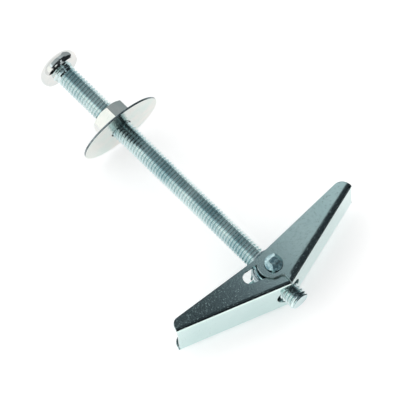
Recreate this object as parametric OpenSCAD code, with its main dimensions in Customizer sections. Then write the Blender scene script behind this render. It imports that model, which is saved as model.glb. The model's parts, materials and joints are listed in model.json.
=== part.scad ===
// Spring toggle bolt, M6: a pan-head machine screw carrying a hex nut, a wide washer and a
// spring-loaded toggle of two folded sheet wings on a threaded trunnion.
// The screw's axis runs along +X from the centre of the head's bearing face, which is the
// origin. The wings swing about an axis across the screw. The whole bolt lies on its side,
// standing on the washer's rim and the lower wing, so the screw dips towards its tip.

/* [Screw] */
// Outside diameter of the threaded shank
shank_d = 6; // [4:0.5:10]
// Length of the shank below the head
shank_l = 93; // [85:1:150]
// Pitch of the shank's thread
thread_pitch = 1; // [0.75:0.25:1.5]
// Length of the plain neck between the head and the thread
neck_l = 0.8; // [0.5:0.1:3]
// Chamfer at the shank's tip
tip_chamfer = 0.4; // [0.1:0.1:1]
// Diameter of the pan head
head_d = 12; // [10:0.5:18]
// Height of the pan head
head_h = 4.6; // [4.2:0.1:7]
// Radius of the head's rounded shoulder
shoulder_r = 2.2; // [2:0.1:2.9]
// Height of the head's widest line above its bearing face
shoulder_h = 1.5; // [0.6:0.1:1.8]
// Span of the cross recess
recess_span = 6.8; // [5:0.1:8]
// Width of each blade of the cross recess
recess_w = 1.3; // [0.8:0.1:2]
// Depth of the cross recess
recess_depth = 2.9; // [2:0.1:3.2]
// Width of the flat at the bottom of the cross recess
recess_foot = 2.2; // [1.5:0.1:3]

/* [Nut] */
// Width of the nut across its flats
nut_af = 9.5; // [8.6:0.1:16]
// Height of the nut
nut_h = 4.5; // [3:0.1:8]
// Slope of the bevels on the nut's corners, in degrees
nut_bevel = 30; // [20:1:40]
// Turn of the nut about the screw, in degrees
nut_turn = -5; // [-30:1:30]
// Depth of the countersink at each mouth of a threaded hole
mouth_depth = 0.5; // [0.2:0.1:0.8]

/* [Washer] */
// Outside diameter of the washer
washer_d = 24.5; // [18:0.5:40]
// Play of the washer's hole around the shank, on the diameter
washer_play = 0.4; // [0.3:0.1:1]
// Thickness of the washer
washer_t = 0.6; // [0.5:0.1:2]
// Distance from the head's bearing face to the washer's middle
washer_x = 22.8; // [12:0.1:30]
// Lean of the loose washer away from square to the screw, in degrees
washer_lean = 6.8; // [0:0.1:7]
// Side the washer's front leans towards, in degrees from +Y towards +Z
washer_lean_side = -131; // [-180:1:180]

/* [Wings] */
// Thickness of the wings' sheet steel
sheet_t = 0.9; // [0.8:0.1:1]
// Outside width of each wing's channel, across its two flanges
wing_w = 13.8; // [12.6:0.1:18]
// Outside radius of the folds between web and flanges
fold_r = 1.1; // [1.1:0.1:2]
// Length of a wing from its pivot to the tip of its inner flange, along the fold
inner_l = 31.7; // [24:0.1:45]
// How much shorter the outer flange is than the inner one
outer_short = 1; // [0:0.1:3]
// How much shorter the web is than the flanges beside it
web_short = 0.3; // [0.2:0.1:1]
// Distance from the pivot to the web's outer face
web_out = 6.9; // [6.6:0.1:9]
// Angle the flanges' free edges lean back towards the head when open, in degrees
open_lean = 3.5; // [0:0.1:8]
// Turn of the open pair of wings towards the lower wing's side, in degrees
pair_turn = 0.5; // [-1:0.1:1]
// Angle between a flange's free edge and its fold, in degrees
wing_taper = 14.2; // [8:0.1:15]
// Radius of the rounded corner at the tip of the inner flange
inner_corner_r = 2.2; // [1:0.1:3]
// Radius of the rounded corner at the tip of the outer flange
outer_corner_r = 2.8; // [1:0.1:3]
// Radius of the lug around the pivot
lug_r = 4; // [3.8:0.1:4.6]
// How far the lug's centre sits from the pivot, both back along the screw and across it
lug_shift = 0.3; // [0:0.1:0.4]
// Radius of the inside corner between the lug and the web's end
lug_fillet_r = 1; // [0.6:0.1:1.2]
// Radius of the half-round notch in each web, which lets the screw through
notch_r = 3.9; // [3.8:0.1:4.2]
// Length of the slot in the inner flange, from the pivot to the centre of its narrow end
slot_l = 7.2; // [5:0.1:12]
// Radius of the slot's narrow end
slot_end_r = 2; // [1:0.1:2.2]
// Lean of the slot back towards the head, in degrees from square to the screw
slot_lean = 13; // [8:1:16]

/* [Trunnion] */
// Distance from the head's bearing face to the wings' pivot
pivot_x = 82.2; // [76:0.1:84]
// Diameter of the trunnion's pins
pin_d = 5; // [4:0.1:5.2]
// Straight part of a pin that stands out of the outer flange
pin_stub = 0.4; // [0.2:0.1:1]
// Height of the four bevels at a pin's end
pin_bevel_h = 1.5; // [0.8:0.1:2]
// Size of the flat land at a pin's end, along the screw
land_x = 1.9; // [1.2:0.1:3]
// Size of the flat land at a pin's end, across the screw
land_y = 2.5; // [1.2:0.1:3]
// Bevel round both ends of the trunnion's barrel
barrel_bevel = 0.3; // [0.1:0.1:0.5]

/* [Spring] */
// Diameter of the spring's wire
wire_d = 0.6; // [0.4:0.05:0.65]
// Length of each leg along its wing's web
leg_l = 12; // [6:0.5:18]
// Place of the bridge beside the screw, in degrees about the pivot from +X
bridge_angle = -132; // [-140:1:-125]
// Radius of the bends into the bridge
bridge_bend_r = 0.8; // [0.6:0.1:1]

/* [Fits] */
// Radial play between the shank and a threaded hole
thread_play = 0.06; // [0.03:0.01:0.1]
// Radial play between a pin and its hole in a wing
pin_play = 0.1; // [0.05:0.01:0.1]
// Gap between flanges that pass each other
flange_gap = 0.1; // [0.05:0.05:0.3]
// Gap between the trunnion's barrel and the flanges beside it
barrel_gap = 0.15; // [0.1:0.05:0.3]
// Gap between the ends of the two webs, which meet when the wings are open
web_gap = 0.1; // [0.05:0.05:0.3]
// Gap between the spring and what it lies against
spring_gap = 0.1; // [0.05:0.05:0.2]
// Radial play between the spring's coils and the barrel
coil_play = 0.3; // [0.2:0.05:0.5]
// Gap between the nut and the nearest point of the leaning washer
nut_gap = 0.1; // [0.05:0.05:0.3]

/* [Hidden] */
$fn = 64;
over = 1;                                   // how far a cutting shape runs past what it cuts
far = 3 * inner_l;                          // a length beyond the whole of a wing
seam = 0.005;                               // how far a straight run lies inside the rounds it joins
wire_sides = 10;                            // sides of the spring's round wire
turn_step = 15;                             // degrees between points along the spring's coils
bend_steps = 4;                             // points round each bend into the spring's bridge

zinc = [0.76, 0.82, 0.82];
zinc_dark = [0.56, 0.63, 0.65];
zinc_bright = [0.85, 0.87, 0.86];
zinc_wing = [0.66, 0.74, 0.75];
spring_steel = [0.50, 0.55, 0.58];

shank_r = shank_d / 2;
bore_r = shank_r + thread_play;
flank_l = 5 / 16 * thread_pitch;                    // a metric thread's flat crest is 1/8 of the pitch,
crest_l = thread_pitch / 8;                         // each flank takes 5/16, and the flat root 1/4
root_r = shank_r - flank_l / tan(30);
pin_r = pin_d / 2;
pin_hole_r = pin_r + pin_play;

// Head: the crown is the arc that runs smoothly into the shoulder's arc.
shoulder_x = head_d / 2 - shoulder_r;
crown_rise = head_h - shoulder_h;
crown_r = (shoulder_x ^ 2 + crown_rise ^ 2 - shoulder_r ^ 2) / (2 * (crown_rise - shoulder_r));
crown_z = head_h - crown_r;

// Washer: a unit vector square to its front face, in the screw's frame.
lean_out = sin(washer_lean);
washer_n = [cos(washer_lean), lean_out * cos(washer_lean_side), lean_out * sin(washer_lean_side)];
washer_hole_r = (shank_d + washer_play) / 2;

// Nut: it stands where the face circle inside its bevels just clears the leaning washer.
nut_face_r = nut_af / 2;
nut_front_x = washer_x - washer_t / 2 / cos(washer_lean) - nut_face_r * tan(washer_lean) - nut_gap;
nut_x = nut_front_x - nut_h;

// Wings: the outer flange of one passes over the inner flange of the other.
wing_shift = (sheet_t + flange_gap) / 2;
fold_start = wing_w / 2 - fold_r;                   // where the folds begin, from the wing's middle
fold_lap = (fold_r - sheet_t) / 3;                  // lap of the web's and the flanges' blocks in a fold
flange_from = fold_start + fold_lap;                // where the flanges' blocks begin
outer_l = inner_l - outer_short;
web_in = web_out - sheet_t;
fold_lean = open_lean + wing_taper;
flange_in = wing_w / 2 - wing_shift - sheet_t;      // inner flange's inner face, from the screw's axis
flange_out = wing_w / 2 + wing_shift;               // outer flange's outer face, from the screw's axis
lug_c = [-lug_shift, -lug_shift];
free_dir = [-sin(open_lean), cos(open_lean)];
free_out = [-cos(open_lean), -sin(open_lean)];
fold_dir = [-sin(fold_lean), cos(fold_lean)];
fold_out = [cos(fold_lean), sin(fold_lean)];

// Trunnion and spring.
barrel_h = flange_in - barrel_gap;
pin_top = flange_out + pin_stub + pin_bevel_h;
coil_r = web_in - spring_gap - wire_d / 2;
barrel_r = coil_r - wire_d / 2 - coil_play;
coil_z_out = flange_in - spring_gap - wire_d / 2;
coil_z_in = shank_r + spring_gap + wire_d / 2;

// Rest: the floor touches the washer's rim and the flat of the lower wing beside its fold.
rim_drop = washer_d / 2 * norm([washer_n[0], washer_n[1]]);
rim_x = washer_x + washer_d / 2 * washer_n[2] * washer_n[0] / norm([washer_n[0], washer_n[1]]);
foot_x = pivot_x + (web_out - fold_r) / cos(fold_lean);
lie_angle = atan((rim_drop - flange_out) / (foot_x - rim_x));

// Lays the bolt down as it comes to rest.
module lying() { rotate([0, lie_angle, 0]) children(); }

// Turns a shape built along +Z so that it runs along the screw.
module along_screw() { rotate([0, 90, 0]) children(); }

// Half section of the pan head, with the bearing face at the bottom.
module head_section() {
    out = unit([shoulder_x, shoulder_h] - [0, crown_z]);
    square([shoulder_x, shoulder_h]);
    intersection() {
        translate([shoulder_x, shoulder_h]) circle(r = shoulder_r);
        square([head_d, head_h]);
    }
    intersection() {
        translate([0, crown_z]) circle(r = crown_r);
        polygon([[0, 0], [shoulder_x, shoulder_h],
                 [0, crown_z] + out * (crown_r + over), [0, head_h + over]]);
    }
}

// One tapered blade of the cross recess, with its mouth at z = 0 and its foot below.
module recess_blade() {
    rotate([90, 0, 0]) linear_extrude(recess_w, center = true)
        polygon([[-recess_span / 2, over], [recess_span / 2, over], [recess_span / 2, 0],
                 [recess_foot / 2, -recess_depth], [-recess_foot / 2, -recess_depth],
                 [-recess_span / 2, 0]]);
}

// Half section of the shank, from the head's bearing face to the chamfered tip. The thread
// starts past a plain neck and is drawn as one closed ridge for each pitch, with its true
// profile but without its lead.
module shank_section() {
    half_l = crest_l / 2 + flank_l;
    neck_end = neck_l + flank_l;
    count = floor((shank_l - neck_end - half_l - seam) / thread_pitch - 1 / 4) + 1;
    intersection() {
        polygon([[0, 0], [shank_r, 0], [shank_r, neck_l], [root_r, neck_end],
                 for (i = [count - 1 : -1 : 0])
                     let (middle = shank_l - (i + 1 / 4) * thread_pitch)
                     each [[root_r, middle - half_l], [shank_r, middle - crest_l / 2],
                           [shank_r, middle + crest_l / 2], [root_r, middle + half_l]],
                 [root_r, shank_l + over], [0, shank_l + over]]);
        polygon([[0, 0], [shank_r + over, 0], [shank_r + over, shank_l - tip_chamfer - over],
                 [shank_r - tip_chamfer, shank_l], [0, shank_l]]);
    }
}

module machine_screw() {
    color(zinc) lying() along_screw() {
        difference() {
            mirror([0, 0, 1]) rotate_extrude() head_section();
            translate([0, 0, -head_h]) mirror([0, 0, 1]) {
                recess_blade();
                rotate([0, 0, 90]) recess_blade();
            }
        }
        rotate_extrude() shank_section();
    }
}

// A threaded hole of length h with a countersink at both mouths, shown at the thread's outside.
module threaded_hole(h) {
    translate([0, 0, -over]) cylinder(h = h + 2 * over, r = bore_r);
    for (end = [0, 1])
        translate([0, 0, end * h]) mirror([0, 0, end])
            translate([0, 0, -over])
                cylinder(h = mouth_depth + over, r1 = bore_r + mouth_depth + over, r2 = bore_r);
}

module hex_nut() {
    corner_r = nut_af / 2 / cos(30);
    drop = (corner_r - nut_face_r) * tan(nut_bevel);
    color(zinc_bright) lying() translate([nut_x, 0, 0]) rotate([nut_turn, 0, 0]) along_screw()
        difference() {
            intersection() {
                rotate([0, 0, 180]) cylinder(h = nut_h, r = corner_r, $fn = 6);
                rotate_extrude()
                    polygon([[0, 0], [nut_face_r, 0], [corner_r, drop],
                             [corner_r, nut_h - drop], [nut_face_r, nut_h], [0, nut_h]]);
            }
            threaded_hole(nut_h);
        }
}

module washer() {
    color(zinc_bright) lying() translate([washer_x, 0, 0])
        rotate([washer_lean_side, 0, 0]) rotate([0, 0, washer_lean]) along_screw()
            difference() {
                cylinder(h = washer_t, r = washer_d / 2, center = true);
                cylinder(h = washer_t + 2 * over, r = washer_hole_r, center = true);
            }
}

// A pin's end: a round pin with four bevels rising to a small flat land.
module pin() {
    intersection() {
        cylinder(h = pin_top, r = pin_r);
        pin_wedge(land_x, 0);
        pin_wedge(land_y, 90);
    }
}

// A long wedge whose two sloping sides meet the pin's rim where the bevels start.
module pin_wedge(land, turn) {
    run = (pin_r - land / 2) / pin_bevel_h;
    foot = land / 2 + run * pin_top;
    rotate([0, 0, turn]) rotate([90, 0, 0]) linear_extrude(pin_d + 2 * over, center = true)
        polygon([[-foot, 0], [foot, 0], [land / 2, pin_top], [-land / 2, pin_top]]);
}

module trunnion() {
    color(zinc_dark) lying() translate([pivot_x, 0, 0]) difference() {
        union() {
            rotate_extrude()
                polygon([[0, -barrel_h], [barrel_r - barrel_bevel, -barrel_h],
                         [barrel_r, -barrel_h + barrel_bevel], [barrel_r, barrel_h - barrel_bevel],
                         [barrel_r - barrel_bevel, barrel_h], [0, barrel_h]]);
            pin();
            mirror([0, 0, 1]) pin();
        }
        translate([-barrel_r, 0, 0]) along_screw() threaded_hole(2 * barrel_r);
    }
}

// A flange's outline as a block of height h: the lug, the tapered blade of that length, the
// blade's rounded tip, and the inside corner between the lug and the web's end.
module flange_block(h, length, corner_r) {
    lug_edge = lug_c + free_out * lug_r;
    corner = tip_corner(lug_edge, length, corner_r);
    end_y = web_gap / 2;
    fillet_y = end_y - lug_fillet_r;
    fillet_x = lug_c[0] + sqrt((lug_r + lug_fillet_r) ^ 2 - (fillet_y - lug_c[1]) ^ 2);
    past_fold = fold_out * (web_out + over);
    translate(lug_c) cylinder(h = h, r = lug_r);
    translate(corner) cylinder(h = h, r = corner_r);
    linear_extrude(h)
        polygon([lug_c, lug_c + free_out * (lug_r - seam), corner + free_out * (corner_r - seam),
                 corner + fold_dir * (corner_r - seam), past_fold + fold_dir * (length - seam),
                 [past_fold[0] + web_out, end_y], [fillet_x, end_y]]);
    difference() {
        linear_extrude(h)
            polygon([lug_c, [lug_c[0], end_y], [fillet_x, end_y], [fillet_x, fillet_y]]);
        translate([fillet_x, fillet_y, -over])
            cylinder(h = h + 2 * over, r = lug_fillet_r + seam);
    }
}

// Centre of a tip's rounded corner: corner_r inside both the free edge and the end edge.
function tip_corner(on_edge, length, corner_r) =
    let (start = on_edge - free_out * corner_r,
         along = (length - corner_r - start * fold_dir) / (free_dir * fold_dir))
    start + free_dir * along;

// The web's outline as a block between the folds, which reaches a little into both. Its end
// runs from just short of the inner flange's tip to just short of the outer flange's, and its
// other end stops at the pivot's plane.
module web_block() {
    side = fold_start + 2 * fold_lap;
    difference() {
        rotate([0, 0, fold_lean]) rotate([90, 0, 90]) linear_extrude(web_out + over)
            polygon([[-web_out, -side], [inner_l - web_short, -side],
                     [outer_l - web_short, side], [-web_out, side]]);
        translate([-far / 2, web_gap / 2 - far, -wing_w]) cube([far, far, 2 * wing_w]);
    }
}

// Cross-section of the wing's channel: x is the distance from the pivot, y is along the pivot.
module channel_section() {
    difference() {
        rounded_end(web_out, wing_w, fold_r);
        rounded_end(web_in, wing_w - 2 * sheet_t, fold_r - sheet_t);
    }
}

// A long strip that ends at x = reach with both corners rounded.
module rounded_end(reach, width, r) {
    for (side = [-1, 1])
        translate([reach - r, side * (width / 2 - r)]) circle(r = r);
    translate([-far, -width / 2]) square([far + reach - r, width]);
    translate([0, r - width / 2]) square([reach, width - 2 * r]);
}

// The slot in the inner flange: the pin's hole opened out towards the wing's tip.
module slot_outline() {
    spread = asin((pin_hole_r - slot_end_r) / slot_l);
    wide = (pin_hole_r - seam) * [cos(spread), sin(spread)];
    narrow = (slot_end_r - seam) * [cos(spread), sin(spread)] + [0, slot_l];
    rotate(slot_lean) {
        circle(r = pin_hole_r);
        translate([0, slot_l]) circle(r = slot_end_r);
        polygon([wide, narrow, [-narrow[0], narrow[1]], [-wide[0], wide[1]]]);
    }
}

// One wing as it is stamped and folded, with its pivot at the origin, its web towards +X, its
// tip towards +Y, and its outer flange, the one with the round hole, on top.
module wing() {
    difference() {
        intersection() {
            rotate([0, 0, fold_lean]) rotate([90, 0, 0])
                linear_extrude(far, center = true) channel_section();
            union() {
                translate([0, 0, flange_from]) flange_block(fold_r + over, outer_l, outer_corner_r);
                web_block();
                translate([0, 0, -flange_from - fold_r - over])
                    flange_block(fold_r + over, inner_l, inner_corner_r);
            }
        }
        translate([web_in - fold_r, 0, 0]) along_screw() cylinder(h = web_out, r = notch_r);
        cylinder(h = wing_w, r = pin_hole_r);
        mirror([0, 0, 1]) linear_extrude(wing_w) slot_outline();
    }
}

// Places what swings on the pivot, turned as the open pair of wings stands.
module on_pivot() { translate([pivot_x, 0, 0]) rotate([0, 0, -pair_turn]) children(); }

module wing_upper() {
    color(zinc_wing) lying() on_pivot() translate([0, 0, wing_shift]) wing();
}

module wing_lower() {
    color(zinc_wing) lying() on_pivot() rotate([180, 0, 0]) translate([0, 0, wing_shift]) wing();
}

function unit(v) = v / norm(v);

// A point on the spring's cylinder, and the direction away from its axis.
function on_coil(angle, z) = [coil_r * cos(angle), coil_r * sin(angle), z];
function radial(angle) = [cos(angle), sin(angle), 0];

// The wire's centre line as [point, outward direction] pairs. It comes in along the upper
// wing's web, winds round the barrel above the screw, drops beside the screw, winds on below
// it, and leaves along the lower wing's web. Each coil goes once round and then on to its end.
bridge_turn = bridge_angle - 360;
leave_turn = -fold_lean - 2 * 360;
bend_angle = bridge_bend_r / coil_r * 180 / PI;
leg_out = [fold_out[0], fold_out[1], 0];
leg_end = coil_r * leg_out + leg_l * [fold_dir[0], fold_dir[1], 0] + [0, 0, coil_z_out];
function coil(from, to, z_from, z_to) =
    let (steps = ceil((from - to) / turn_step))
    [for (i = [0 : steps])
        let (angle = from + (to - from) * i / steps)
        [on_coil(angle, z_from + (z_to - z_from) * i / steps), radial(angle)]];
function bend(angle, z, into_bridge) =
    [for (i = [1 : bend_steps])
        let (a = 90 * i / bend_steps,
             across = into_bridge ? sin(a) : 1 - cos(a),
             down = into_bridge ? 1 - cos(a) : sin(a),
             at = angle - bend_angle * across)
        [on_coil(at, z - bridge_bend_r * down), radial(at)]];
wire_path = concat(
    [[leg_end, leg_out]],
    coil(fold_lean, bridge_turn + bend_angle, coil_z_out, coil_z_in),
    bend(bridge_turn + bend_angle, coil_z_in, true),
    [[on_coil(bridge_turn, -coil_z_in + bridge_bend_r), radial(bridge_turn)]],
    bend(bridge_turn, -coil_z_in + bridge_bend_r, false),
    coil(bridge_turn - bend_angle, leave_turn, -coil_z_in, -coil_z_out),
    [[[leg_end[0], -leg_end[1], -leg_end[2]], [leg_out[0], -leg_out[1], 0]]]);

// A round wire swept along a path of [point, outward direction] pairs.
module swept_wire(path, r) {
    last = len(path) - 1;
    rings = [for (i = [0 : last])
        let (ahead = unit(path[min(i + 1, last)][0] - path[max(i - 1, 0)][0]),
             side = unit(cross(ahead, path[i][1])),
             out = cross(side, ahead))
        [for (k = [0 : wire_sides - 1])
            path[i][0] + r * (cos(360 * k / wire_sides) * out + sin(360 * k / wire_sides) * side)]];
    polyhedron(
        points = [for (ring = rings) each ring],
        faces = concat(
            [[for (k = [0 : wire_sides - 1]) k]],
            [for (i = [0 : last - 1], k = [0 : wire_sides - 1])
                [i * wire_sides + k, (i + 1) * wire_sides + k,
                 (i + 1) * wire_sides + (k + 1) % wire_sides, i * wire_sides + (k + 1) % wire_sides]],
            [[for (k = [wire_sides - 1 : -1 : 0]) last * wire_sides + k]]));
}

module torsion_spring() {
    color(spring_steel) lying() on_pivot() swept_wire(wire_path, wire_d / 2);
}

machine_screw();
hex_nut();
washer();
trunnion();
wing_upper();
wing_lower();
torsion_spring();
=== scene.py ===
# %% [markdown]
# # A spring toggle bolt in bright zinc
# A toggle bolt holds things to a hollow wall. Its two folded wings close along the screw to pass
# through a drilled hole, a spring opens them behind the board, and turning the screw draws them
# tight. The solid model comes from the CAD frame. This notebook gives it a helical thread, broken
# edges, a round spring wire and the zinc finishes, and sets the light and the camera.

# %% Load the frame
import json
import math

import bmesh
import bpy
from mathutils import Matrix, Vector


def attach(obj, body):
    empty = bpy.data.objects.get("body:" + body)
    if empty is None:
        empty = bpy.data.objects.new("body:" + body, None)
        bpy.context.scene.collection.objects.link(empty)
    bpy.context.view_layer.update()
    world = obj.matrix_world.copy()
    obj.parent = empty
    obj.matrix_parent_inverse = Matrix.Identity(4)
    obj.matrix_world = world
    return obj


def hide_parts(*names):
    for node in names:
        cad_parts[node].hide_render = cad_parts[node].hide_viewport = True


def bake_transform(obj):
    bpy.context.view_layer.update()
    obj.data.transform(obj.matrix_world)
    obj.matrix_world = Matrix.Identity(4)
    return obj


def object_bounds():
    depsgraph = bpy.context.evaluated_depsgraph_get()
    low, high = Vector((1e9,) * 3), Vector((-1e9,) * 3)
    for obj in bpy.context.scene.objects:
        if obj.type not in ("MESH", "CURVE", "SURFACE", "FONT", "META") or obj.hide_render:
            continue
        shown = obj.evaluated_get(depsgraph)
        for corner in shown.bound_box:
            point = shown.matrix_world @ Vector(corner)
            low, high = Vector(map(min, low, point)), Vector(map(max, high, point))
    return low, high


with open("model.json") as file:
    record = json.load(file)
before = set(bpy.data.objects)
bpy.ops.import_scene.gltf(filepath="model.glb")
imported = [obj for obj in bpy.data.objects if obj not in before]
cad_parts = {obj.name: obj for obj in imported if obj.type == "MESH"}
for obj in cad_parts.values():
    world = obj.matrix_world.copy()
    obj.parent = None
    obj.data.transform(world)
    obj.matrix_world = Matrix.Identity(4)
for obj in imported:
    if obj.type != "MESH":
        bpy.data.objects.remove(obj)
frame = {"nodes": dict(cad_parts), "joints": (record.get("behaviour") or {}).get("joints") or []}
cad_box = [list(corner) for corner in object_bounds()]
print("CAD box in metres:", cad_box)

# %% [markdown]
# ## The screw's own directions
# The bolt lies on its side, resting on the washer's rim and one wing, so the screw dips a little
# towards its tip. The joints of the frame say where everything points: the washer slides along
# the screw, and the wings swing about the pin. With these two directions, every later piece can be
# built in the screw's own frame, where +X runs down the shank, and be laid down in one step.

# %% The lying frame
MM = 0.001
joints = {joint["name"]: joint for joint in frame["joints"]}
along_screw = Vector(joints["washer_slide"]["axis"]).normalized()
along_pin = Vector(joints["upper_wing_fold"]["axis"]).normalized()
pivot = Vector(joints["upper_wing_fold"]["pos_m"])
LYING = Matrix((along_screw, along_pin.cross(along_screw), along_pin)).transposed().to_4x4()
print("The screw dips", round(math.degrees(math.asin(-along_screw.z)), 2), "degrees")

# %% [markdown]
# ## Helpers for meshes
# Each piece starts as a bmesh and ends as an object at the origin, with its place in its mesh, as
# the CAD pieces have. Round parts look round when their faces are shaded smooth, while real edges
# stay crisp when every edge above a chosen angle is marked sharp.

# %% Make an object from a bmesh
CRISP = math.radians(35)


def finished_piece(name, bm, crisp=CRISP):
    """Turns a bmesh into a smooth-shaded object with crisp edges."""
    mesh = bpy.data.meshes.new(name)
    bm.to_mesh(mesh)
    bm.free()
    mesh.shade_smooth()
    mesh.set_sharp_from_angle(angle=crisp)
    piece = bpy.data.objects.new(name, mesh)
    bpy.context.scene.collection.objects.link(piece)
    print(name, "has", len(mesh.polygons), "faces")
    return piece


def merged_copy(node_name):
    """A bmesh of a CAD node with its loose triangles welded and its flats made whole again."""
    bm = bmesh.new()
    bm.from_mesh(frame["nodes"][node_name].data)
    bmesh.ops.remove_doubles(bm, verts=bm.verts, dist=0.001 * MM)
    bmesh.ops.dissolve_limit(
        bm, angle_limit=math.radians(0.5), verts=bm.verts, edges=bm.edges
    )
    return bm


# %% [markdown]
# ## Helpers for finishes
# Colours are written as the hex values that a paint program shows. Blender counts in linear light,
# so one function turns the one into the other. A second one adds a node with its settings and
# links, which keeps the recipe of each finish short enough to read.

# %% Colour and node helpers
def linear(hex_colour):
    """An sRGB hex colour as the linear values that Blender mixes."""
    values = [int(hex_colour[i : i + 2], 16) / 255 for i in (1, 3, 5)]
    curve = [v / 12.92 if v <= 0.04045 else ((v + 0.055) / 1.055) ** 2.4 for v in values]
    return (*curve, 1)


def add_node(tree, kind, inputs=None, **settings):
    """Adds a node. An input is a plain value, or an output socket to link from."""
    node = tree.nodes.new(kind)
    for name, value in settings.items():
        setattr(node, name, value)
    for name, value in (inputs or {}).items():
        if isinstance(value, bpy.types.NodeSocket):
            tree.links.new(value, node.inputs[name])
        else:
            node.inputs[name].default_value = value
    return node


# %% [markdown]
# ## Bright zinc plate
# Every piece here is steel with a thin coat of zinc, passivated so that it stays bright. To the
# eye it is a pale metal with a slightly blue-green cast that drifts from place to place, because
# the clear film on it varies in thickness. Up close the coat is not a perfect mirror: it has a
# faint grain, and it is worn or stained here and there. One recipe mixes two tints with a slow
# noise, roughens the gloss with a second noise, and lifts the grain with a bump. Sheet metal can
# also have small round pits, which are sunk into the middles of Voronoi cells. An Ambient
# Occlusion node darkens the colour of what lies within a fraction of a millimetre of another face,
# a painted shade in the crevices and gaps. Each piece then gets its own numbers.

# %% The recipe for a plated finish
# A pit's spacing and depth are shares of its size, and its radius is a share of a Voronoi cell.
PIT_SPACING = 3
PIT_RADIUS = 0.24
PIT_DEPTH = 0.2


def plated(
    name, pale, deep, gloss, drift_mm, grain_mm, grain_lift_mm, pit_mm=0, crevice_shade=(0.3, 0.3)
):
    """A zinc-plated steel finish. gloss is (smoothest, roughest); the painted crevice shade is
    (reach in mm, darkest).
    """
    finish = bpy.data.materials.new(name)
    finish.use_nodes = True
    tree = finish.node_tree
    shader = tree.nodes["Principled BSDF"]
    shader.inputs["Metallic"].default_value = 1
    where = add_node(tree, "ShaderNodeTexCoord").outputs["Object"]
    drift = add_node(
        tree, "ShaderNodeTexNoise", {"Vector": where, "Scale": 1 / (drift_mm * MM), "Detail": 3}
    )
    grain = add_node(
        tree, "ShaderNodeTexNoise", {"Vector": where, "Scale": 1 / (grain_mm * MM), "Detail": 4}
    )
    tint = add_node(tree, "ShaderNodeValToRGB", {"Fac": drift.outputs["Fac"]})
    tint.color_ramp.elements[0].position = 0.35
    tint.color_ramp.elements[0].color = linear(deep)
    tint.color_ramp.elements[1].position = 0.65
    tint.color_ramp.elements[1].color = linear(pale)
    rough = add_node(
        tree,
        "ShaderNodeMapRange",
        {"Value": grain.outputs["Fac"], "From Min": 0.3, "From Max": 0.7,
         "To Min": gloss[0], "To Max": gloss[1]},
    )
    bump = add_node(
        tree,
        "ShaderNodeBump",
        {"Height": grain.outputs["Fac"], "Strength": 1, "Distance": grain_lift_mm * MM},
    )
    if pit_mm:
        cells = add_node(
            tree, "ShaderNodeTexVoronoi",
            {"Vector": where, "Scale": 1 / (pit_mm * PIT_SPACING * MM)},
        )
        pits = add_node(
            tree, "ShaderNodeMapRange",
            {"Value": cells.outputs["Distance"], "From Min": 0, "From Max": PIT_RADIUS,
             "To Min": -1, "To Max": 0},
            interpolation_type="SMOOTHSTEP",
        )
        bump = add_node(
            tree, "ShaderNodeBump",
            {"Height": pits.outputs["Result"], "Normal": bump.outputs["Normal"],
             "Strength": 1, "Distance": pit_mm * PIT_DEPTH * MM},
        )
    # Painted shade: the Ambient Occlusion value darkens the base colour near other faces, as shade
    # in crevices and gaps would.
    crevice = add_node(tree, "ShaderNodeAmbientOcclusion", {"Distance": crevice_shade[0] * MM}, samples=12)
    shade = add_node(
        tree, "ShaderNodeMapRange",
        {"Value": crevice.outputs["AO"], "From Min": 0.3, "From Max": 0.75,
         "To Min": crevice_shade[1], "To Max": 1},
    )
    crevice_shaded_tint = add_node(
        tree, "ShaderNodeMix", {0: 1, 6: tint.outputs["Color"], 7: shade.outputs["Result"]},
        data_type="RGBA", blend_type="MULTIPLY",
    )
    tree.links.new(crevice_shaded_tint.outputs[2], shader.inputs["Base Color"])
    tree.links.new(rough.outputs["Result"], shader.inputs["Roughness"])
    tree.links.new(bump.outputs["Normal"], shader.inputs["Normal"])
    print("Finish:", name)
    return finish


# %% [markdown]
# ## The screw
# The shank of a machine screw is rolled between flat dies, which presses a helical groove into it
# and leaves rounded crests. Here the profile of one thread, a single 1 mm step from crest to
# crest, is spun about the axis while it moves forward one pitch a turn, as a lathe would cut it.
# That makes a true M6 thread that catches the light in short glints, which no bump could give on
# the outline. The spun band is then cut off at both ends, closed, and chamfered at the tip. The
# dies stop short of the head, so the groove runs out there into a plain neck with a small fillet.

# %% Thread sizes
PITCH = 1.0 * MM
CREST_R = 2.98 * MM
ROOT_R = 2.4 * MM
SHANK_L = 93 * MM
TIP_CHAMFER = 0.4 * MM
NECK_L = 0.8 * MM
RUN_OUT = 1.2 * MM
FILLET = 0.4 * MM
INTO_HEAD = 0.6 * MM
STEPS_A_TURN = 30
# Place along one pitch and height between root and crest, from one crest to the next.
THREAD_FORM = [(0, 1), (0.07, 0.97), (0.37, 0.08), (0.5, 0), (0.63, 0.08), (0.93, 0.97), (1, 1)]
print("The shank is", round(SHANK_L / PITCH), "pitches long")

# %% [markdown]
# ## Rolling the thread
# The spin operator copies the profile step by step and joins the copies into faces, and a small
# push with each step turns the ring into a helix. Where the groove runs out, each point is drawn
# back to the crest's radius, so the neck is round again.

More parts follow.
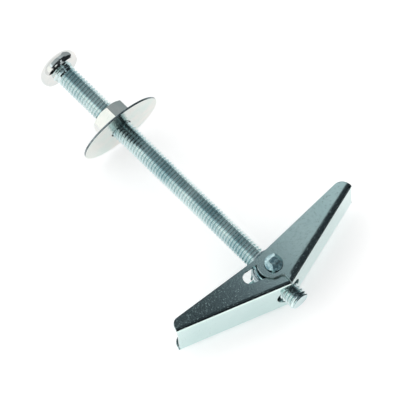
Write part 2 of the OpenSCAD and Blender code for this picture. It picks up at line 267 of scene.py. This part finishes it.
# %% Roll the thread
def threaded_rod(bm):
    """Adds the M6 shank along +X, from inside the head to its chamfered tip."""
    turns = round(SHANK_L / PITCH) + 3
    profile = [
        bm.verts.new((place * PITCH - 2 * PITCH, 0, ROOT_R + height * (CREST_R - ROOT_R)))
        for place, height in THREAD_FORM
    ]
    edges = [bm.edges.new(pair) for pair in zip(profile, profile[1:])]
    bmesh.ops.spin(
        bm, geom=profile + edges, cent=(0, 0, 0), axis=(1, 0, 0),
        dvec=(PITCH / STEPS_A_TURN, 0, 0), angle=math.tau * turns,
        steps=STEPS_A_TURN * turns, use_merge=False,
    )
    bmesh.ops.remove_doubles(bm, verts=bm.verts, dist=0.002 * MM)
    for place, side in ((-INTO_HEAD, -1), (SHANK_L, 1)):
        bmesh.ops.bisect_plane(
            bm, geom=bm.verts[:] + bm.edges[:] + bm.faces[:],
            plane_co=(place, 0, 0), plane_no=(side, 0, 0), clear_outer=True,
        )
    for vert in bm.verts:
        radius = math.hypot(vert.co.y, vert.co.z)
        groove = min(max((vert.co.x - NECK_L) / RUN_OUT, 0), 1)
        wanted = CREST_R - (CREST_R - radius) * groove
        wanted += FILLET * max(1 - max(vert.co.x, 0) / FILLET, 0) ** 2
        wanted = min(wanted, CREST_R - TIP_CHAMFER + (SHANK_L - vert.co.x))
        vert.co.y *= wanted / radius
        vert.co.z *= wanted / radius
    rims = [edge for edge in bm.edges if edge.is_boundary]
    bmesh.ops.holes_fill(bm, edges=rims, sides=0)
    bmesh.ops.recalc_face_normals(bm, faces=bm.faces)


# %% [markdown]
# ## The pan head
# A pan head is cold-formed: a flat bearing face, a rounded shoulder and a slightly domed crown.
# Half of its section is spun once round, and the recess for the driver is cut into it afterwards.

# %% Head sizes
HEAD_R = 6 * MM
HEAD_H = 4.6 * MM
SHOULDER_R = 2.2 * MM
SHOULDER_H = 1.5 * MM
RECESS_SPAN = 6.8 * MM
RECESS_W = 1.3 * MM
RECESS_DEPTH = 2.9 * MM
RECESS_FOOT = 2.2 * MM
RECESS_TAPER = 0.8
shoulder_x = HEAD_R - SHOULDER_R
crown_rise = HEAD_H - SHOULDER_H
crown_r = (shoulder_x**2 + crown_rise**2 - SHOULDER_R**2) / (2 * (crown_rise - SHOULDER_R))
print("Crown radius:", round(crown_r / MM, 2), "mm")

# %% [markdown]
# ## Turning the head's section
# The section runs from the middle of the bearing face out along it, round the shoulder and over the
# crown. Both curves are arcs, so they are computed and not drawn by eye.

# %% Spin the head
def arc(centre_r, centre_h, radius, start, stop, count):
    """Points (radius, height) along an arc, with angles counted from straight out to up."""
    angles = [start + (stop - start) * i / count for i in range(count + 1)]
    return [(centre_r + radius * math.cos(a), centre_h + radius * math.sin(a)) for a in angles]


def pan_head():
    """The head as an object in the screw's frame, with its bearing face at x = 0."""
    crown_h = HEAD_H - crown_r
    meet = math.atan2(SHOULDER_H - crown_h, shoulder_x)
    low = -math.asin(SHOULDER_H / SHOULDER_R)
    shoulder = arc(shoulder_x, SHOULDER_H, SHOULDER_R, low, meet, 20)
    crown = arc(0, crown_h, crown_r, meet, math.pi / 2, 12)
    section = [(0, 0)] + shoulder + crown[1:]
    bm = bmesh.new()
    verts = [bm.verts.new((-height, 0, radius)) for radius, height in section]
    edges = [bm.edges.new(pair) for pair in zip(verts, verts[1:])]
    bmesh.ops.spin(
        bm, geom=verts + edges, cent=(0, 0, 0), axis=(1, 0, 0), angle=math.tau,
        steps=96, use_merge=True,
    )
    bmesh.ops.remove_doubles(bm, verts=bm.verts, dist=0.001 * MM)
    bmesh.ops.recalc_face_normals(bm, faces=bm.faces)
    return finished_piece("pan_head", bm)


# %% [markdown]
# ## The cross recess
# The recess is punched by a tool with two crossed blades that narrow towards their foot. Each blade
# is a block with its inner end drawn in, and an exact boolean cuts it out of the head.

# %% Punch the cross recess
def recess_blade(turn):
    """One tapered blade of the punch, standing in the crown."""
    bm = bmesh.new()
    made = bmesh.ops.create_cube(bm, size=1)
    depth = RECESS_DEPTH + MM
    bmesh.ops.scale(bm, verts=made["verts"], vec=(depth, RECESS_SPAN, RECESS_W))
    for vert in bm.verts:
        if vert.co.x > 0:
            vert.co.y *= RECESS_FOOT / RECESS_SPAN
            vert.co.z *= RECESS_TAPER
    bmesh.ops.translate(bm, verts=bm.verts, vec=(RECESS_DEPTH - HEAD_H - depth / 2, 0, 0))
    bmesh.ops.rotate(bm, verts=bm.verts, cent=(0, 0, 0), matrix=Matrix.Rotation(turn, 3, "X"))
    return finished_piece("punch_blade", bm)


def apply_modifiers(piece):
    """Bakes a piece's modifiers into its mesh."""
    shown = piece.evaluated_get(bpy.context.evaluated_depsgraph_get())
    mesh = bpy.data.meshes.new_from_object(shown)
    piece.modifiers.clear()
    piece.data = mesh


head = pan_head()
blades = [recess_blade(0), recess_blade(math.pi / 2)]
for blade in blades:
    cut = head.modifiers.new("recess", "BOOLEAN")
    cut.operation = "DIFFERENCE"
    cut.solver = "EXACT"
    cut.object = blade
apply_modifiers(head)
for blade in blades:
    bpy.data.objects.remove(blade)

# %% [markdown]
# ## One screw
# The head and the shank are one piece of steel, so both meshes go into one bmesh. It is built along
# +X, laid down last, and stands for the CAD screw on the same body.

# %% Join the head and the thread
SCREW_CRISP = math.radians(40)
bm = bmesh.new()
threaded_rod(bm)
bm.from_mesh(head.data)
bpy.data.objects.remove(head)
bmesh.ops.transform(bm, matrix=LYING, verts=bm.verts)
screw = finished_piece("screw_m6", bm, crisp=SCREW_CRISP)
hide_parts("machine_screw")
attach(screw, "screw")

# %% [markdown]
# ## Broken edges on the pressed pieces
# The nut, the washer, the pin and the wings have the right shape in CAD, but mathematically sharp
# edges, and real stamped or cold-formed steel never has those: tumbling before plating breaks them
# by about a tenth of a millimetre, and the zinc rounds them again. A thin line of light along each
# edge is what makes sheet metal read as metal. So each is a welded copy of its CAD node, with a
# narrow bevel on every edge that is truly an edge. Smooth shading would let those small bevels
# bend the light on the wide faces beside them, and a flat flange would look like a pillow, so a
# Weighted Normal modifier gives the wide faces the say. The nut turns freely on its thread, which
# the frame leaves out, and here it is run ten degrees round.

# %% Bevel the welded copies
EDGE_ANGLE = math.radians(28)
NUT_TURN = math.radians(10)


def edge_broken(node_name, piece_name, width_mm, body, turn=0):
    """A copy of a CAD node with its sharp edges broken, riding on the same body."""
    bm = merged_copy(node_name)
    sharp = [
        edge for edge in bm.edges
        if len(edge.link_faces) == 2 and edge.calc_face_angle() > EDGE_ANGLE
    ]
    bmesh.ops.bevel(
        bm, geom=sharp, offset=width_mm * MM, offset_type="OFFSET", segments=2, profile=0.5,
        affect="EDGES", clamp_overlap=True, material=-1,
    )
    if turn:
        spin = Matrix.Rotation(turn, 4, along_screw)
        place = Matrix.Translation(pivot) @ spin @ Matrix.Translation(-pivot)
        bmesh.ops.transform(bm, matrix=place, verts=bm.verts)
    piece = finished_piece(piece_name, bm)
    flatten = piece.modifiers.new("flat faces", "WEIGHTED_NORMAL")
    flatten.keep_sharp = True
    apply_modifiers(piece)
    piece.data.materials.clear()
    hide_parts(node_name)
    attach(piece, body)
    return piece


nut = edge_broken("hex_nut", "nut_m6", 0.14, "nut", turn=NUT_TURN)
washer = edge_broken("washer", "wide_washer", 0.1, "loose_washer")
trunnion = edge_broken("trunnion", "toggle_pin", 0.1, "toggle")
upper_wing = edge_broken("wing_upper", "upper_wing_sheet", 0.15, "upper_wing")
lower_wing = edge_broken("wing_lower", "lower_wing_sheet", 0.15, "lower_wing")

# %% [markdown]
# ## The spring
# The torsion spring is one length of round wire: a leg along the upper wing, a coil round the
# barrel, a bridge beside the screw, a second coil and a leg along the lower wing. When the wings
# fold, each coil winds up between the bridge, which stays with the pin, and its own leg. One piece
# can bend between two bodies only, so the wire is made in two halves that meet in the bridge. The
# CAD wire has ten flat sides, so its triangles are joined into squares again and subdivided.

# %% Split and round the wire
WIRE_SHRINK = 0.02 * MM


def spring_half(name, side):
    """Half of the spring on one side of the screw; side is 1 above it and -1 below."""
    bm = merged_copy("torsion_spring")
    bmesh.ops.join_triangles(
        bm, faces=bm.faces, angle_face_threshold=math.radians(60),
        angle_shape_threshold=math.radians(60),
    )
    bmesh.ops.bisect_plane(
        bm, geom=bm.verts[:] + bm.edges[:] + bm.faces[:], plane_co=pivot,
        plane_no=along_pin * -side, clear_outer=True,
    )
    bmesh.ops.holes_fill(bm, edges=[edge for edge in bm.edges if edge.is_boundary], sides=0)
    bm.normal_update()
    for vert in bm.verts:
        vert.co += vert.normal * WIRE_SHRINK
    half = finished_piece(name, bm, crisp=math.pi)
    rounder = half.modifiers.new("round wire", "SUBSURF")
    rounder.levels = rounder.render_levels = 1
    apply_modifiers(half)
    half.data.shade_smooth()
    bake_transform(half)
    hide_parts("torsion_spring")
    return half


springs = [spring_half("spring_upper_half", 1),
           spring_half("spring_lower_half", -1)]

# %% [markdown]
# ## The finishes of each piece
# All of it left the same kind of zinc bath, but the pieces were made in different ways. The screw's
# shank was rolled, so it is glossy, with a bluish film, and its upset head is smoother and whiter.
# The washer and nut are the brightest. The wings are pressed from sheet, with a few fine pits. The
# pin is turned and bluer, and the spring wire is drawn and darker. Where the washer and the wings
# were sheared from the sheet, the cut edge is rougher, so a second finish goes to those faces. The
# washer's rim finish is also painted dark grey, a painted shade for the dark ceiling it reflects.

# %% Make and give the finishes
# The screw's painted crevice shade is deeper and reaches further, so it darkens the thread's
# grooves.
screw_zinc = plated(
    "rolled_steel_blue_zinc", "#d4e4e4", "#a6c2c6", (0.1, 0.2), 9, 0.5, 0.003, crevice_shade=(0.5, 0.1)
)
head_zinc = plated("upset_steel_bright_zinc", "#e2e0dc", "#d4d8d6", (0.08, 0.14), 5, 0.6, 0.002)
nut_zinc = plated(
    "cold_formed_steel_bright_zinc", "#e4e4e0", "#d8deda", (0.14, 0.26), 4, 0.6, 0.004
)
washer_zinc = plated("stamped_steel_bright_zinc", "#e2e2dc", "#d4e0da", (0.12, 0.22), 6, 0.8, 0.003)
# The washer rim's dark grey is painted shade, for the dark ceiling that the rim reflects.
rim_painted_shade_zinc = plated("blanked_rim_painted_shade_zinc", "#8c999c", "#5c686c", (0.2, 0.34), 1.5, 0.3, 0.01)
sheared_zinc = plated("sheared_edge_zinc", "#dce8e8", "#b9cccd", (0.3, 0.45), 1.5, 0.3, 0.01)
pin_zinc = plated("turned_steel_zinc", "#c4e0e2", "#7397a1", (0.1, 0.24), 0.9, 0.5, 0.03)
wing_zinc = plated(
    "pressed_sheet_zinc", "#cfe4e2", "#c9e0de", (0.06, 0.13), 8, 0.3, 0.003, pit_mm=0.2
)
wire_zinc = plated("drawn_wire_zinc", "#c6d2d4", "#a7b5b9", (0.2, 0.34), 2, 0.3, 0.003)
for piece, finish in (
    (screw, screw_zinc), (nut, nut_zinc), (washer, washer_zinc), (trunnion, pin_zinc),
    (upper_wing, wing_zinc), (lower_wing, wing_zinc),
    (springs[0], wire_zinc), (springs[1], wire_zinc),
):
    piece.data.materials.append(finish)

# %% [markdown]
# ## Head, rim and cut edges
# A mesh can hold several materials, and each face says which one it shows. The faces for the
# second finish are found by where they lie or where they look, which holds however the mesh was
# made: the head lies behind the bearing face, and the washer's rim looks square to the screw.

# %% Give the head and the cut edges their own finish
WEB_LOOKS = (0.953, 0.303)
SIDEWAYS = 0.5
LIKE_THE_WEB = 0.93


def second_finish(piece, finish, chosen):
    """Gives a second finish to the faces that a test picks."""
    piece.data.materials.append(finish)
    count = 0
    for face in piece.data.polygons:
        if chosen(face):
            face.material_index = 1
            count += 1
    print(piece.name, "has", count, "faces in", finish.name)


def cut_edge_of(web_normal):
    """A test for the sheared faces of a wing, which look neither up, down nor like the web."""
    web = (LYING @ Vector(web_normal)).normalized()
    return lambda face: (
        abs(face.normal.dot(along_pin)) < SIDEWAYS
        and abs(face.normal.dot(web)) < LIKE_THE_WEB
    )


second_finish(screw, head_zinc, lambda face: face.center.dot(along_screw) < 0.01 * MM)
# The rim's faces take the rougher finish with the painted dark shade.
second_finish(washer, rim_painted_shade_zinc, lambda face: abs(face.normal.dot(along_screw)) < SIDEWAYS)
second_finish(upper_wing, sheared_zinc, cut_edge_of((WEB_LOOKS[0], WEB_LOOKS[1], 0)))
second_finish(lower_wing, sheared_zinc, cut_edge_of((WEB_LOOKS[0], -WEB_LOOKS[1], 0)))

# %% [markdown]
# ## The floor and the backdrop
# The floor is a plain pale sheet that keeps the bolt's shadow. The world is white where the camera
# or the metal looks past the floor, and a soft even light for everything else.

# %% Floor and world
FLOOR_REACH = 1.5
FLOOR_MIDDLE = 0.05
FLOOR_GAP = 0.02 * MM
FLOOR_GLOW = 0.32
EVEN_LIGHT = 0.86
floor_z = cad_box[0][2]
bm = bmesh.new()
bmesh.ops.create_grid(bm, x_segments=1, y_segments=1, size=FLOOR_REACH)
bmesh.ops.translate(bm, verts=bm.verts, vec=(FLOOR_MIDDLE, 0, floor_z - FLOOR_GAP))
floor = finished_piece("floor", bm)
floor_paint = bpy.data.materials.new("matt_white_card")
floor_paint.use_nodes = True
tree = floor_paint.node_tree
shader = tree.nodes["Principled BSDF"]
shader.inputs["Base Color"].default_value = linear("#f4f4f4")
shader.inputs["Roughness"].default_value = 0.9
shader.inputs["Specular IOR Level"].default_value = 0
shader.inputs["Emission Color"].default_value = (1, 1, 1, 1)
seen = add_node(tree, "ShaderNodeLightPath")
either = add_node(
    tree, "ShaderNodeMath",
    {0: seen.outputs["Is Camera Ray"], 1: seen.outputs["Is Glossy Ray"]}, operation="MAXIMUM",
)
glow = add_node(
    tree, "ShaderNodeMath", {0: either.outputs[0], 1: FLOOR_GLOW}, operation="MULTIPLY",
)
tree.links.new(glow.outputs[0], shader.inputs["Emission Strength"])
floor.data.materials.append(floor_paint)

world = bpy.data.worlds.new("studio")
bpy.context.scene.world = world
world.use_nodes = True
tree = world.node_tree
even = tree.nodes["Background"]
even.inputs["Color"].default_value = (1, 1, 1, 1)
even.inputs["Strength"].default_value = EVEN_LIGHT
white = add_node(tree, "ShaderNodeBackground", {"Color": (1, 1, 1, 1), "Strength": 1})
paths = add_node(tree, "ShaderNodeLightPath")
either = add_node(
    tree, "ShaderNodeMath",
    {0: paths.outputs["Is Camera Ray"], 1: paths.outputs["Is Glossy Ray"]}, operation="MAXIMUM",
)
any_of = add_node(
    tree, "ShaderNodeMath",
    {0: either.outputs[0], 1: paths.outputs["Is Transmission Ray"]}, operation="MAXIMUM",
)
choose = add_node(
    tree, "ShaderNodeMixShader",
    {0: any_of.outputs[0], 1: even.outputs[0], 2: white.outputs[0]},
)
tree.links.new(choose.outputs[0], tree.nodes["World Output"].inputs["Surface"])

# %% [markdown]
# ## Flags for the metal
# Bright metal shows nothing but its surroundings, so in an all-white room it would look like
# paper. Photographers hang black and grey cards, called flags, around it, and the dark shapes that
# these leave in the reflections draw its form. Here a grey card is the ceiling, and a black cloth
# under it is cut so that the near wing reflects black and the far one grey. Black cloths close the
# tip's side and the far side, and pale cards and windows stand in them where an edge or a face
# should catch the light. Two cards lie low in front of the webs, and a strip of black hangs over
# the far wing's fold. Only reflections see them, so they cast no shadow and never come into the
# picture.

# %% A card with a shade that fades
CENTRE = LYING @ Vector((0.078, 0, 0))
CEILING = 450
FAR_SIDE = 500
NEAR_SIDE = -480
TIP_SIDE = 400
HEAD_SIDE = -600
LOW = -12
OVER_FOLD = 17
CARD_LIFT = 0.3 * MM
SPAN = 800


def faded(tree, fades):
    """A strength that follows (place across the screw in mm, strength) pairs."""
    where = add_node(tree, "ShaderNodeTexCoord").outputs["Object"]
    outwards = (LYING @ Vector((0, 1, 0))).normalized()
    across = add_node(
        tree, "ShaderNodeVectorMath", {0: where, 1: outwards}, operation="DOT_PRODUCT"
    )
    place = add_node(
        tree, "ShaderNodeMapRange",
        {"Value": across.outputs["Value"], "From Min": -SPAN * MM, "From Max": SPAN * MM},
    )
    ramp = add_node(tree, "ShaderNodeValToRGB", {"Fac": place.outputs["Result"]})
    stops = ramp.color_ramp.elements
    while len(stops) < len(fades):
        stops.new(1)
    for stop, (y, strength) in zip(stops, fades):
        stop.position = (y + SPAN) / (2 * SPAN)
        stop.color = (strength, strength, strength, 1)
    return ramp.outputs["Color"]


def flag(name, corners_mm, shade, fades):
    """A card that only reflections see, from its corners in the screw's frame."""
    bm = bmesh.new()
    bm.faces.new([bm.verts.new(LYING @ (Vector(corner) * MM)) for corner in corners_mm])
    card = finished_piece(name, bm)
    paint = bpy.data.materials.new(name + "_card")
    paint.use_nodes = True
    tree = paint.node_tree
    tree.nodes.remove(tree.nodes["Principled BSDF"])
    strength = faded(tree, fades)
    glow = add_node(tree, "ShaderNodeEmission", {"Color": linear(shade), "Strength": strength})
    tree.links.new(glow.outputs[0], tree.nodes["Material Output"].inputs["Surface"])
    card.data.materials.append(paint)
    card.visible_camera = False
    card.visible_diffuse = False
    card.visible_shadow = False
    return card


def wall(start, stop, low=LOW, high=CEILING):
    """The corners of an upright card between two places beside the screw."""
    return [(*start, low), (*stop, low), (*stop, high), (*start, high)]


# %% [markdown]
# ## Where each card hangs
# A flat face mirrors the camera's line of sight into one direction, so each card hangs where that
# direction, from a wing, a fold or the nut, meets the ceiling, a side or the floor. Places are in
# millimetres in the screw's frame.

# %% Hang the flags
# The outline of the ceiling's black: over the near side, out to the place that the near wing
# reflects, past it, and on alongside the fold of the far wing.
BLACK = [(400, -420), (-20, -420), (-20, 95), (-95, 95), (-95, 147), (-36, 147), (-44, 500),
         (400, 500)]
# A black card low before the far wing's web, a strip of black close over that wing's fold, and a
# white card low before the near wing's web.
LOW_BLACK = [(95.5, 10), (81, 60), (75, 80), (75, 200), (300, 200), (300, 10)]
FOLD_BLACK = [(84.1, 4.6), (75.5, 33.7), (74.5, 37), (110, 37), (110, 4.6)]
LOW_WHITE = [(98, -1), (89, -31), (85, -45), (85, -70), (250, -70), (250, -1)]


def steady(strength):
    """The fades of a card that has one strength all over."""
    return [(-SPAN, strength), (SPAN, strength)]


def level(corners, height):
    """The corners of a level card, from its outline and its height."""
    return [(x, y, height) for x, y in corners]


flag("ceiling_cloth", level(BLACK, CEILING - 2), "#e0f0ff",
     [(100, 0.05), (124, 0.06), (138, 0.13), (147, 0.38), (148, 0.03)])
flag("ceiling_card", level([(HEAD_SIDE, -420), (TIP_SIDE, -420), (TIP_SIDE, FAR_SIDE),
                            (HEAD_SIDE, FAR_SIDE)], CEILING), "#eefaff",
     [(-420, 1.4), (-310, 1.4), (-270, 0.6), (0, 0.52), (144, 0.47), (188, 0.7), (280, 0.6),
      (400, 0.5)])
flag("near_side_window", wall((HEAD_SIDE, NEAR_SIDE), (200, NEAR_SIDE), low=165), "#fcfcf8",
     steady(1.35))
flag("tip_side_cloth", wall((TIP_SIDE, -800), (TIP_SIDE, FAR_SIDE)), "#e0f0ff",
     steady(0.02))
flag("tip_side_card", wall((TIP_SIDE - 2, 60), (TIP_SIDE - 2, 205)), "#e4f0f4",
     steady(0.7))
flag("ceiling_patch", level([(130, 105), (TIP_SIDE, 105), (TIP_SIDE, 195), (130, 195)],
                            CEILING - 4), "#e4f0f4",
     steady(0.9))
flag("ceiling_window", level([(170, -230), (330, -230), (330, -90), (170, -90)],
                             CEILING - 4), "#f4f8f8",
     steady(1.1))
flag("fold_cloth", level(FOLD_BLACK, OVER_FOLD), "#e0f0ff", steady(0.04))
flag("far_side_cloth", wall((TIP_SIDE, FAR_SIDE), (60, FAR_SIDE)), "#e0f0ff",
     steady(0.03))
flag("far_side_card", wall((60, FAR_SIDE), (HEAD_SIDE, FAR_SIDE)), "#e4f0f4",
     steady(0.45))
low_cards = [
    flag("low_cloth", level(LOW_BLACK, 0), "#e0f0ff", steady(0.03)),
    flag("low_card", level(LOW_WHITE, 0), "#fffcf8", steady(1.45)),
]
for card in low_cards:
    for vert in card.data.vertices:
        vert.co.z = floor_z + CARD_LIFT

# %% [markdown]
# ## Light
# One large soft lamp stands on the near side and above, and gives the bolt its shadow. The metal
# is left to reflect the white room and the cards, so its glints don't burn out, and the even light
# of the room keeps the shadow faint.

# %% The soft lamp
def soft_lamp(name, towards, distance, size, power):
    """A square soft lamp that shines at the toggle from a direction in the screw's frame."""
    light = bpy.data.lights.new(name, "AREA")
    light.size = size
    light.energy = power
    lamp = bpy.data.objects.new(name, light)
    bpy.context.scene.collection.objects.link(lamp)
    away = (LYING @ Vector(towards)).normalized()
    lamp.location = CENTRE + away * distance
    lamp.rotation_mode = "QUATERNION"
    lamp.rotation_quaternion = away.to_track_quat("Z", "Y")
    lamp.visible_camera = False
    lamp.visible_glossy = False
    print(name, "is", size, "m wide and stands", distance, "m away")
    return lamp


soft_lamp("key_lamp", (-0.3, -0.75, 0.6), 1.2, 0.9, 2.6)

# %% [markdown]
# ## The camera
# The view is from above the wings, a little from the tip's side, with the screw running up to the
# left. A very long lens from three metres away keeps parallel edges parallel, as in a catalogue
# picture.

# %% Set the camera
VIEW_RIGHT = Vector((0.68756, 0.72579, 0.02208)).normalized()
VIEW_UP = Vector((-0.66466, 0.61683, 0.42159)).normalized()
VIEW_BACK = VIEW_RIGHT.cross(VIEW_UP).normalized()
FIELD = 107.0 * MM
DISTANCE = 3.0
SENSOR = 36
AIM_RIGHT = -0.019463
AIM_UP = 0.020064
camera_data = bpy.data.cameras.new("camera")
camera_data.sensor_width = SENSOR
camera_data.lens = SENSOR * DISTANCE / FIELD
camera_data.clip_end = 10
camera = bpy.data.objects.new("camera", camera_data)
bpy.context.scene.collection.objects.link(camera)
aim = Vector((0.0822, 0, 0)) + VIEW_RIGHT * AIM_RIGHT + VIEW_UP * AIM_UP
stand = Matrix((VIEW_RIGHT, VIEW_UP, VIEW_BACK)).transposed().to_4x4()
camera.matrix_world = LYING @ Matrix.Translation(aim + VIEW_BACK * DISTANCE) @ stand
bpy.context.scene.camera = camera
bpy.context.scene.view_settings.view_transform = "Standard"
print("Lens:", round(camera_data.lens), "mm")
